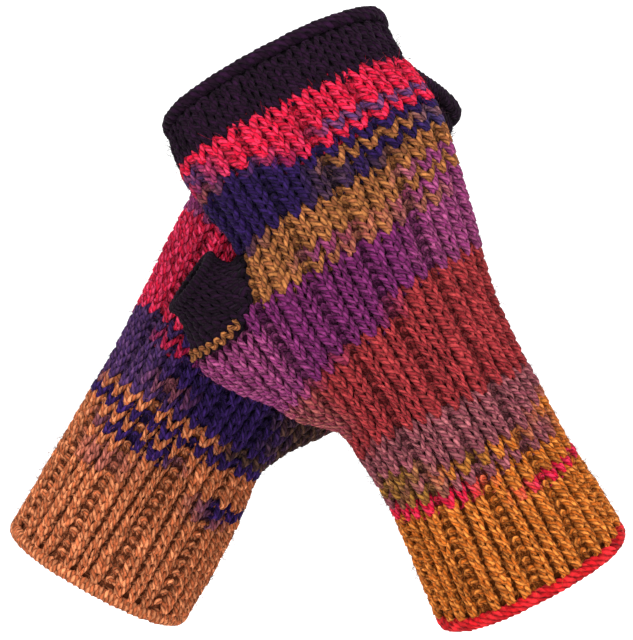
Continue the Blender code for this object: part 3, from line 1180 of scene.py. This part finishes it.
    def halo(self, made: Halo = Halo()) -> bpy.types.Object:
        """The loose fibres that stand off the yarn.

        Args:
            made: Their sizes.

        Returns:
            The piece.
        """
        random = np.random.default_rng(self.seed + 41)
        courses = self.courses("all")
        each = made.fibres // len(courses)
        number = each * len(courses)
        turns, alongs, knitted = [], [], []
        for course in courses:
            sweep, arcs, half = self.form.arcs(course.along)
            share = random.random(each)
            turns.append(np.interp(share * arcs[-1], arcs, sweep))
            alongs.append(course.along + course.pitch * (random.random(each) - 0.5))
            knitted.append(self.knitted(course.row, self.places(share, arcs, half)))
        turn, along = np.concatenate(turns), np.concatenate(alongs)
        start = made.root[0] + made.root[1] * random.standard_normal(number)
        root = self.form.lifted(turn, along, start)
        normal = self.form.normal(turn, along)
        side = unit(np.cross(normal, random.standard_normal((number, 3))))
        curl = np.cross(normal, side) * random.standard_normal((number, 1)) * made.curl
        length = random.uniform(*made.lengths, (number, 1))
        rise = random.uniform(0.45, 1.0, (number, 1)) ** 2 * made.rise
        sag = random.uniform(0.2, 0.9, (number, 1)) * rise
        share = np.array([0.0, 0.36, 0.7, 1.0])
        taper = np.array([1.0, 1.0, 0.8, 0.25])
        at = share[:, None, None]
        centres = root + side * length * at + curl * length * at**2
        centres = centres + normal * (rise * at * 1.6 - sag * at**2)
        kept = np.repeat(self.hole.size(turn, along)[:, None] >= made.clear, len(share), axis=1)
        kept[:, -1] = False
        half = np.tile(made.half_width * taper, number)
        strand = Strand(
            centres.transpose(1, 0, 2).reshape(-1, 3),
            np.repeat(normal, len(share), axis=0),
            half,
            half,
            np.repeat(np.concatenate(knitted), len(share)),
            made.light,
            kept.ravel(),
            closed=False,
        )
        tube = Tube(self.stripes, self.seed + 43, sides=3)
        tube.add(strand)
        return self.kept(tube.build(f"{self.name}_halo_yarn"), YARN_FINISH, "hand")

    def rolled(self, edge: RolledEdge) -> bpy.types.Object:
        """The yarn of a rolled edge.

        Args:
            edge: The edge.

        Returns:
            The piece.
        """
        middle = (edge.low + edge.high) / 2
        sweep, arcs, _ = self.form.arcs(middle)
        tube = Tube(self.stripes, self.seed + 7)
        random = np.random.default_rng(self.seed + 13)
        rise = (edge.high - edge.low) / 2 - edge.thick * 0.85
        deep = (edge.top + WALL) / 2 - edge.thick * 0.75
        number = edge.windings * edge.steps
        s = np.arange(number) / number
        for strand in (0, 1):
            t = s * edge.windings * TURN + strand * math.pi
            knots = np.resize(random.normal(0, UNEVEN.edge, edge.windings), edge.windings + 1)
            wander = np.interp(s * edge.windings, np.arange(edge.windings + 1), knots)
            turn = np.interp(s * arcs[-1], arcs, sweep)
            along = middle + rise * np.cos(t) + wander
            lift = edge.top - edge.thick * 0.8 - deep + deep * np.sin(t)
            out, up = np.sin(t)[:, None], np.cos(t)[:, None]
            tube.add(
                Strand(
                    self.form.lifted(turn, along, lift),
                    self.form.normal(turn, along) * out + self.form.fingers * up,
                    edge.thick * 1.05,
                    edge.thick * 0.8,
                    self.knitted(edge.row, s * STITCHES + BACK_PLACE),
                    # painted shade where the winding turns in
                    0.85 + 0.15 * np.sin(t),
                )
            )
        return self.kept(tube.build(f"{self.name}_{edge.part}_yarn"), YARN_FINISH, edge.part)

    def sleeve(self, angle: Points, step: Points) -> Points:
        """Points on the outside of the thumb's sleeve.

        Args:
            angle: Angles round it, 0 towards the fingers.
            step: 0 at the hand, 1 at its open rim.

        Returns:
            The points.
        """
        form, thumb = self.form, self.thumb
        _, centre, outwards, forwards = form.frame(np.array(thumb.rim_along))
        out, front, up = thumb.lean
        way = unit(outwards * out + forwards * front + form.fingers * up)
        rim_front = unit(forwards - way * forwards.dot(way))
        rim_up = unit(np.cross(rim_front, way))
        rim_up = rim_up * np.sign(rim_up.dot(form.fingers))
        lift = thumb.edge_lift + 0 * angle
        edge = form.lifted(*self.hole.place(angle, thumb.edge_size), lift)
        run_on = form.lifted(*self.hole.place(angle, thumb.edge_size - 0.1), lift) - edge
        sin, cos = np.sin(angle)[..., None], np.cos(angle)[..., None]
        rim = centre + outwards * thumb.rim_out
        rim = rim + (rim_front * sin + rim_up * cos) * thumb.rim_radius
        leave, arrive = unit(run_on) * thumb.turn_in, way * thumb.turn_out
        return smooth(step[..., None], edge, rim, leave, arrive)

    def on_thumb(self, angle: Points, step: Points, lift: Points) -> tuple[Points, Points]:
        """Points and outward directions on the thumb's sleeve.

        Args:
            angle: Angles round it, 0 towards the fingers.
            step: 0 at the hand, 1 at its open rim.
            lift: How far the points stand off its outside.

        Returns:
            The points and the directions.
        """
        angle, step = np.broadcast_arrays(np.asarray(angle, float), np.asarray(step, float))
        round_way = self.sleeve(angle + 0.02, step) - self.sleeve(angle - 0.02, step)
        up_way = self.sleeve(angle, step + 0.01) - self.sleeve(angle, step - 0.01)
        normal = unit(np.cross(round_way, up_way)) * self.form.turning
        return self.sleeve(angle, step) + normal * np.asarray(lift)[..., None], normal

    def thumb_yarn(self, dark: float) -> bpy.types.Object:
        """The picked-up stitches of the short thumb and its rolled rim.

        Args:
            dark: The place along the yarn whose colour it has.

        Returns:
            The piece.
        """
        thumb = self.thumb
        tube = Tube(self.stripes, self.seed + 3)
        random = np.random.default_rng(self.seed + 5)
        columns, tall = thumb.columns, thumb.rows + 0.4
        t = np.arange(STEPS) / STEPS * TURN
        for row in range(thumb.rows):
            jitter = 1 + thumb.uneven * random.standard_normal((columns, 2))
            x = t / TURN + thumb.splay * jitter[:, :1] * np.sin(2 * t)
            angle = (np.arange(columns)[:, None] + x) / columns * TURN
            step = np.tile((row + 0.55) / tall - thumb.reach / tall * np.cos(t), columns)
            lift = 0.25 - thumb.flat - thumb.depth * (1 + np.cos(2 * t)) * jitter[:, 1:]
            points, normals = self.on_thumb(angle.ravel(), step, lift.ravel())
            ring = points.reshape(columns, STEPS, 3)[:, 0]
            wide = np.linalg.norm(np.roll(ring, -1, axis=0) - ring, axis=1)
            wide = np.clip(wide, *thumb.widths)[:, None]
            half = wide * thumb.thick * (0.8 + 0.2 * np.sin(t) ** 2)
            shade = np.tile(1 - 0.4 * (0.5 + 0.5 * np.cos(2 * t)) ** 1.5, columns) * thumb.shade
            tube.add(Strand(points, normals, half.ravel(), thumb.flat, dark, shade))
        number = columns * thumb.rim_steps
        s = np.arange(number) / number
        for strand in (0, 1):
            turn = s * columns * TURN + strand * math.pi
            lift = -1.2 + 0.9 * np.sin(turn)
            step = thumb.rim_middle + thumb.rim_rise * np.cos(turn)
            points, normals = self.on_thumb(s * TURN, step, lift)
            way = unit(points - self.on_thumb(s * TURN, 0.9, lift)[0])
            lean = normals * np.sin(turn)[:, None] + way * np.cos(turn)[:, None]
            tube.add(Strand(points, lean, thumb.rim, thumb.rim * 0.9, dark, thumb.shade - 0.02))
        if self.pick_up:
            tube.add(self.picked_up(self.pick_up, random))
        return self.kept(tube.build(f"{self.name}_thumb_yarn"), YARN_FINISH, "thumb")

    def picked_up(self, made: PickUp, random: np.random.Generator) -> Strand:
        """The small loops from which the thumb is picked up.

        Args:
            made: Their place and sizes.
            random: For the small differences from loop to loop.

        Returns:
            The strand.
        """
        fine = np.linspace(*made.angles, 200)
        edge = self.hole.place(fine, made.edge_size)
        curve = self.form.lifted(*edge, made.lift + 0 * fine)
        length = np.append(0, np.cumsum(np.linalg.norm(np.diff(curve, axis=0), axis=1)))
        stitches = round(length[-1] / made.loop)
        number = stitches * STEPS
        t = np.arange(number) / STEPS * TURN
        rise = np.repeat(1 + made.uneven * random.standard_normal(stitches), STEPS)
        place = t / TURN / stitches * length[-1]
        middle = np.stack([np.interp(place, length, axis) for axis in curve.T], axis=-1)
        normal = self.form.normal(*(np.interp(place, length, part) for part in edge))
        across = unit(np.cross(np.gradient(middle, axis=0), normal)) * self.form.turning
        zigzag = np.clip(1.25 * np.arcsin(np.cos(t)) / (math.pi / 2), -1, 1)
        middle = middle - across * (made.half_height * rise * zigzag)[:, None]
        middle = middle + normal * (0.3 * np.cos(2 * t))[:, None]
        half, shade = (made.half_width, made.half_depth), 0.75 + 0.25 * np.cos(2 * t)
        return Strand(middle, normal, *half, PICKED_UP_ROW, shade, closed=False)

    def cloth(self, part: str, grid: Points, knitted: Points, kept: Points) -> bpy.types.Object:
        """A thin sheet of painted shade through a grid of points, closed round the tube.

        Args:
            part: The part's name.
            grid: Points by line and then round the tube.
            knitted: The place along the yarn at each point.
            kept: Which cells are kept.

        Returns:
            The piece.
        """
        name = f"{self.name}_{part}_cloth"
        used, corners = np.unique(cells(*grid.shape[:2])[kept.ravel()], return_inverse=True)
        points = grid.reshape(-1, 3)[used] * MM
        mesh = bpy.data.meshes.new(name)
        mesh.from_pydata(points.tolist(), [], corners.reshape(-1, 4).tolist())
        mesh.shade_smooth()
        paint(mesh, PLIES[0], self.stripes.at(knitted.ravel()[used], 0))
        return self.kept(placed(name, mesh), SHADE_CLOTH_FINISH, part)

    def tube_cloth(self, part: str, low: float, high: float) -> bpy.types.Object:
        """The painted-shade sheet of one part of the tube.

        Args:
            part: cuff, hand or finger_band.
            low: Where it starts.
            high: Where it ends.

        Returns:
            The piece.
        """
        inside, columns, apart = 1.5, 120, 1.9
        alongs = np.linspace(low, high, max(6, round((high - low) / apart)))
        share = np.arange(columns) / columns
        grid, place, turns = [], [], []
        for along in alongs:
            sweep, arcs, half = self.form.arcs(along)
            turn = np.interp(share * arcs[-1], arcs, sweep)
            line = self.form.lifted(turn, np.full(columns, along), np.full(columns, -inside))
            grid.append(line)
            place.append(self.places(share, arcs, half))
            turns.append(turn)
        courses = self.courses("all")
        rows = np.interp(alongs, [course.along for course in courses], range(len(courses)))
        knitted = self.knitted(np.round(rows)[:, None], np.array(place))
        kept = np.ones((len(alongs) - 1, columns), bool)
        if part == "hand":
            open_at = self.hole.size(np.array(turns), alongs[:, None]) < 1.0
            open_side = open_at & np.roll(open_at, -1, 1)
            kept = ~(open_side[:-1] & open_side[1:])
        return self.cloth(part, np.array(grid), knitted, kept)

    def thumb_cloth(self, dark: float) -> bpy.types.Object:
        """The painted-shade sheet inside the thumb's sleeve.

        Args:
            dark: The place along the yarn whose colour it has.

        Returns:
            The piece.
        """
        lines, columns, inside = 12, 64, 1.7
        angle = np.tile(np.arange(columns) / columns * TURN, (lines, 1))
        step = np.linspace(0.0, 0.99, lines)[:, None]
        grid, _ = self.on_thumb(angle, step, np.full((lines, columns), -inside))
        kept = np.ones((lines - 1, columns), bool)
        return self.cloth("thumb", grid, np.full((lines, columns), dark), kept)

    def build(self) -> None:
        """Builds every piece, and hides the solids that they stand in for."""
        ends, hand = self.ends, self.courses("hand")
        top_row = self.courses("all")[-1].row
        half = len(hand) // 2
        hem = self.rolled(RolledEdge("cuff_edge", 0.0, ends.cuff_edge, HEM_ROW))
        edge = self.rolled(RolledEdge("finger_edge", ends.finger_band, ends.finger_edge, top_row))
        cuff = self.knit("cuff", self.courses("cuff"), "cuff")
        lower = self.knit("hand", hand[:half], "hand_lower")
        upper = self.knit("hand", hand[half:], "hand_upper")
        band = self.knit("finger_band", self.courses("finger_band"), "finger_band")
        thumb = self.thumb_yarn(top_row + 0.5)
        halo = self.halo()
        under_edge = 2.5  # of a rolled edge is lined with the painted-shade sheet
        cuff_cloth = self.tube_cloth("cuff", under_edge, ends.cuff)
        hand_cloth = self.tube_cloth("hand", ends.cuff, ends.hand)
        band_cloth = self.tube_cloth("finger_band", ends.hand, ends.finger_band + under_edge)
        thumb_cloth = self.thumb_cloth(top_row + 0.5)
        for part, cloth, yarns, nodes in (
            ("cuff", cuff_cloth, [hem, cuff], ["cuff_edge", "cuff"]),
            ("hand", hand_cloth, [lower, upper, halo], ["hand"]),
            ("finger_band", band_cloth, [band, edge], ["finger_band", "finger_edge"]),
            ("thumb", thumb_cloth, [thumb], ["thumb"]),
        ):
            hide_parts(*[f"{self.name}_{node}" for node in nodes])


# ---------------------------------------------------------------- the pair

FRONT_ROUNDS = (
    # along, across, bow, thumb_side, far_side, half_depth, roll, droop
    (0, -7.8, 14.0, 33.2, 33.2, 27.0, 0, 3.5),
    (19, -7.2, 9.5, 31.9, 31.6, 25.5, 0, 2.5),
    (39, -6.2, 5.0, 30.4, 29.4, 23.0, 0, 1.5),
    (59, -5.0, 1.5, 31.4, 29.4, 21.5, 0, 1.5),
    (73, -3.6, 0.0, 33.6, 29.8, 21.0, 0, 3),
    (82, -2.8, 0.0, 42.6, 30.6, 21.0, 0, 5),
    (91.5, -2.0, 0.0, 47.5, 32.0, 21.0, 0, 7),
    (101.5, -1.2, 0.0, 55.3, 34.4, 20.5, 0, 9),
    (111.5, -0.8, 0.0, 61.1, 36.8, 20.0, 0, 10),
    (119.5, -1.2, 0.0, 62.6, 37.6, 20.0, 0, 10),
    (128.5, -2.0, 0.0, 51.0, 38.2, 20.0, 0, 9),
    (137.5, -2.2, 0.0, 39.4, 39.0, 19.8, 0, 7.5),
    (154.5, -1.4, 0.5, 40.2, 40.2, 19.5, 0, 4),
    (169.5, 0.6, 2.5, 41.2, 39.8, 19.0, 0, 2),
    (186.5, 0.4, 9.4, 39.8, 39.0, 18.5, 0, 4.5),
)

REAR_ROUNDS = (
    # along, across, bow, thumb_side, far_side, half_depth, roll, droop
    (0, -0.4, 10.0, 32.6, 32.6, 27.0, 0, 0),
    (20, 0.2, 6.2, 32.6, 32.6, 25.5, 0, 0),
    (40, 0.2, 3.0, 31.8, 32.0, 23.5, 2, 0),
    (58, -0.2, 1.0, 31.0, 31.2, 22.0, 6, 1),
    (69, 0.0, 0.0, 35.5, 31.2, 21.5, 9, 3),
    (83, 0.0, 0.0, 45.0, 31.8, 21.5, 14, 5),
    (99, 0.0, 0.0, 56.0, 33.0, 21.5, 20, 7),
    (111, 0.0, 0.0, 62.0, 34.0, 21.5, 24, 8),
    (119, 0.0, 0.0, 60.5, 34.5, 21.5, 26, 8),
    (129, 0.0, 0.0, 46.0, 35.0, 21.8, 28, 7),
    (140, 0.0, 0.0, 36.0, 35.5, 22.0, 30, 5),
    (159, 0.0, 1.0, 35.0, 35.0, 22.0, 30, 1),
    (178, 0.8, 4.5, 33.5, 33.5, 22.0, 30, -3),
    (195, 1.2, 10.0, 31.0, 29.5, 21.0, 30, -8),
)

# Rows count from the cuff's first. Before it come the hem and the row picked up for the thumb.
HEM_ROW, PICKED_UP_ROW = -3.0, -1.0

# The ORCHID runs from .7 of rows 26 to 29 are painted light along the mitt's edge on the thumb's
# side, whose underside lies in shade.
FRONT_CARD = """
    -4 HEM_RED, -1.5 TAN, -0.5 MUSTARD, 8.2 CRIMSON, 8.45 MUSTARD, 10.5 CRIMSON, 10.8 MUSTARD,
    11.3 MAUVE, 11.58 OLIVE, 11.68 MAUVE, 11.8 MUSTARD, 12.3 MAUVE, 12.38 MUSTARD, 12.47 OLIVE,
    12.53 MUSTARD, 12.58 MAUVE, 12.64 OLIVE, 12.8 MUSTARD, 13.34 MAUVE, 13.6 OLIVE, 13.7 MAUVE,
    13.85 MUSTARD, 14.27 MAUVE, 16.68 BRICK, 18.7 ROSE, 18.8 BRICK, 19.69 ROSE, 19.8 BRICK,
    20.7 ROSE, 20.78 ORCHID, 20.92 BRICK, 21.7 ROSE, 21.83 TAN, 21.9 BRICK, 22.71 ROSE,
    22.76 ORCHID, 22.9 BRICK, 23.7 ORCHID, 23.9 BRICK, 24.63 PLUM, 24.72 ORCHID, 24.9 BRICK,
    25.5 PLUM, 25.7 ORCHID, 25.95 BRICK, 26.49 PLUM, 26.7 ORCHID, 26.85 PLUM, 27.2 ORCHID,
    27.4 PLUM, 27.7 ORCHID, 27.85 PLUM, 28.2 ORCHID, 28.42 PLUM, 28.7 ORCHID, 28.83 PLUM,
    29.2 ORCHID, 29.42 PLUM, 29.7 ORCHID, 29.8 PLUM, 30.2 ORCHID, 30.4 PLUM, 31.2 ORCHID,
    31.4 PLUM, 31.8 TAN, 32.0 ORCHID, 32.33 TAN, 32.39 PLUM, 32.42 TAN, 32.49 ROSE, 32.53 TAN,
    32.9 ORCHID, 33.4 ROSE, 33.44 TAN, 33.48 ROSE, 33.54 PLUM, 33.6 TAN, 34.95 ORCHID,
    35.39 TAN, 36.66 INDIGO, 36.95 TAN, 37.39 UMBER, 37.42 INDIGO, 37.49 UMBER, 37.53 INDIGO,
    38.2 SLATE, 38.3 INDIGO, 38.48 UMBER, 38.52 INDIGO, 39.0 SLATE, 39.24 TAN, 39.27 SLATE,
    39.32 TAN, 39.5 UMBER, 39.52 INDIGO, 40.95 CRIMSON, 41.54 INDIGO, 41.95 SMOKE,
    42.5 CRIMSON, 42.57 SMOKE, 42.6 INDIGO, 42.69 ROSE, 42.75 SMOKE, 42.9 CRIMSON,
    43.66 SMOKE, 43.74 CRIMSON, 44.67 SMOKE, 44.8 CRIMSON, 45.8 AUBERGINE
"""

# The rear mitt's indigo and crimson runs take brighter copies of those dyes, painted light where the
# front mitt shades it.
REAR_CARD = """
    -4 COPPER, 9.34 NIGHT, 9.4 COPPER, 9.56 BLUSH, 9.66 COPPER, 10.2 NIGHT, 10.41 COPPER,
    10.54 BLUSH, 10.67 COPPER, 12.47 NIGHT, 12.665 COPPER, 13.8 NIGHT, 15.2 UMBER,
    15.43 COPPER, 15.72 NIGHT, 16.18 UMBER, 16.3 NIGHT, 16.55 DUSK, 16.8 NIGHT, 17.08 UMBER,
    17.34 NIGHT, 17.54 MAUVE, 17.6 DUSK, 17.8 NIGHT, 18.05 UMBER, 18.31 NIGHT, 18.6 DUSK,
    18.8 NIGHT, 19.12 UMBER, 19.36 NIGHT, 19.6 DUSK, 19.8 NIGHT, 20.1 UMBER, 20.34 NIGHT,
    20.58 CRIMSON, 20.64 DUSK, 21.0 NIGHT, 21.12 UMBER, 21.32 NIGHT, 21.62 DUSK,
    21.8 SCARLET, 31.5 ORCHID, 36.0 PLUM, 39.0 NIGHT, 43.0 AUBERGINE
"""


def front_mitt() -> Mitt:
    """The mitt in front, its thumb to the viewer's left.

    Returns:
        The mitt.
    """
    return Mitt(
        name="front",
        form=WornForm(-24.4, False, 150.2, -24.5, FRONT_ROUNDS),
        first_gutter=2,
        ends=Ends(5, 39, 166, 181, 186.5),
        hole=ThumbHole(128, 11, math.radians(51), 8),
        thumb=ThumbTube(134, 55.4, (0.51, 0.12, 0.86)),
        stripes=Stripes(FRONT_CARD),
        slots={"cuff_edge": "red_wool", "cuff": "ochre_wool", "hand": "plum_wool"},
        seed=11,
        pitches=((5, 3.4), (39, 3.4), (39.1, 3.735), (140, 3.735), (150, 3.05), (181, 2.95)),
        flats={"cuff": (190, 38), "hand": (205, 127), "finger_band": (200, 20), "thumb": (80, 22)},
        pick_up=PickUp((0.54 * math.pi, math.pi)),
    )


def rear_mitt() -> Mitt:
    """The mitt behind, its thumb to the viewer's right and turned away.

    Returns:
        The mitt.
    """
    return Mitt(
        name="rear",
        form=WornForm(29.0, True, 154.6, 26.5, REAR_ROUNDS),
        first_gutter=1,
        ends=Ends(5, 40, 172, 189.5, 195),
        hole=ThumbHole(128.5, 11, math.radians(51), 8),
        thumb=ThumbTube(135, 54, (0.51, 0, 0.86)),
        stripes=Stripes(REAR_CARD),
        slots={"cuff_edge": "copper_wool", "cuff": "copper_wool", "hand": "indigo_wool"},
        seed=23,
        pitches=((5, 3.5), (40, 3.5), (40.1, 3.77), (150, 3.77), (160, 3.3), (189.5, 3.1)),
        flats={"cuff": (190, 38), "hand": (205, 132), "finger_band": (190, 22), "thumb": (80, 22)},
    )


FLOOR_BELOW = 30  # the mitts' lowest point


@dataclass(frozen=True)
class Studio:
    """The pale floor and backdrop, the lights and the camera."""

    floor: float  # its height
    distance: float = 1400
    middle: tuple[float, float] = (-1.31, -49.18)
    view_width: float = 207.5
    film: float = 36
    flat: float = 2400  # radius of the level floor
    bend: float = 600  # radius of its curve up into the wall
    wall: float = 1000
    sides: int = 96
    paper: float = 0.5
    glow: float = 0.92  # light that the paper itself gives off
    room: float = 0.26  # light from all round
    aim: tuple[float, float, float] = (0, 0, -0.05)  # of the lamps, in metres

    def dish(self) -> None:
        """One pale sheet: a round floor that curves up into a low wall all round."""
        bends = np.linspace(0, math.pi / 2, 13)
        bend = np.stack([self.flat + self.bend * np.sin(bends), self.bend * (1 - np.cos(bends))])
        inner, outer = [(self.flat / 3, 0), (self.flat / 1.5, 0)], (self.flat + self.bend, self.wall)
        out, high = np.concatenate([inner, bend.T, [outer]]).T[..., None]
        angle = np.arange(self.sides) / self.sides * TURN
        grid = np.stack([out * np.cos(angle), out * np.sin(angle), self.floor + high + 0 * angle])
        faces = cells(len(out), self.sides).tolist() + [tuple(reversed(range(self.sides)))]
        mesh = bpy.data.meshes.new("floor")
        mesh.from_pydata((grid.reshape(3, -1).T * MM).tolist(), [], faces)
        mesh.shade_smooth()
        graph = Graph("pale_paper")
        graph.dress(
            {
                "Base Color": (self.paper, self.paper, self.paper, 1),
                "Emission Color": (1, 1, 1, 1),
                "Emission Strength": self.glow,
                "Roughness": 0.9,
            }
        )
        mesh.materials.append(graph.material)
        placed("floor", mesh)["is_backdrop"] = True

    def light(self, name: str, place: tuple[float, ...], size: float, power: float) -> None:
        """A soft square lamp that faces the mitts.

        Args:
            name: Its name.
            place: Its place, in metres.
            size: The length of its sides, in metres.
            power: Its power, in watts.
        """
        lamp = bpy.data.lights.new(name, "AREA")
        lamp.size = size
        lamp.energy = power
        piece = placed(name, lamp)
        piece.location = place
        way = Vector(self.aim) - Vector(place)
        piece.rotation_euler = way.to_track_quat("-Z", "Y").to_euler()

    def camera(self) -> None:
        """The camera at the photograph's angle."""
        lens = bpy.data.cameras.new("camera")
        lens.sensor_fit = "HORIZONTAL"
        lens.sensor_width = self.film
        lens.lens = self.film * self.distance / self.view_width
        lens.clip_start, lens.clip_end = 0.05, 20
        piece = placed("camera", lens)
        piece.location = (self.middle[0] * MM, -self.distance * MM, self.middle[1] * MM)
        piece.rotation_euler = (math.pi / 2, 0, 0)
        bpy.context.scene.camera = piece

    def build(self) -> None:
        """Sets the stage."""
        self.dish()
        self.light("key", (0.25, -0.7, 1.0), 0.45, 19)
        self.light("fill", (-1.0, -0.9, 0.3), 0.9, 7)
        self.light("back", (0.2, 0.8, 0.9), 1.0, 6)
        world = bpy.data.worlds.new("soft_room")
        world.use_nodes = True
        background = world.node_tree.nodes["Background"]
        background.inputs["Color"].default_value = (1, 1, 1, 1)
        background.inputs["Strength"].default_value = self.room
        bpy.context.scene.world = world
        bpy.context.scene.view_settings.view_transform = "Standard"
        self.camera()


def main() -> None:
    """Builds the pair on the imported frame, then the stage."""
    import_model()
    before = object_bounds()
    PliedWool().material()
    PaintedShadeCloth().material()
    for mitt in (front_mitt(), rear_mitt()):
        mitt.build()
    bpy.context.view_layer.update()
    faces = sum(len(piece.data.polygons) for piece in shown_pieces() if piece.type == "MESH")
    log.info("all pieces: %d four-sided faces", faces)
    Studio(floor=before[0].z / MM - FLOOR_BELOW).build()


if __name__ == "__main__":
    logging.basicConfig(level=logging.INFO, format="%(name)s %(message)s")
    main()
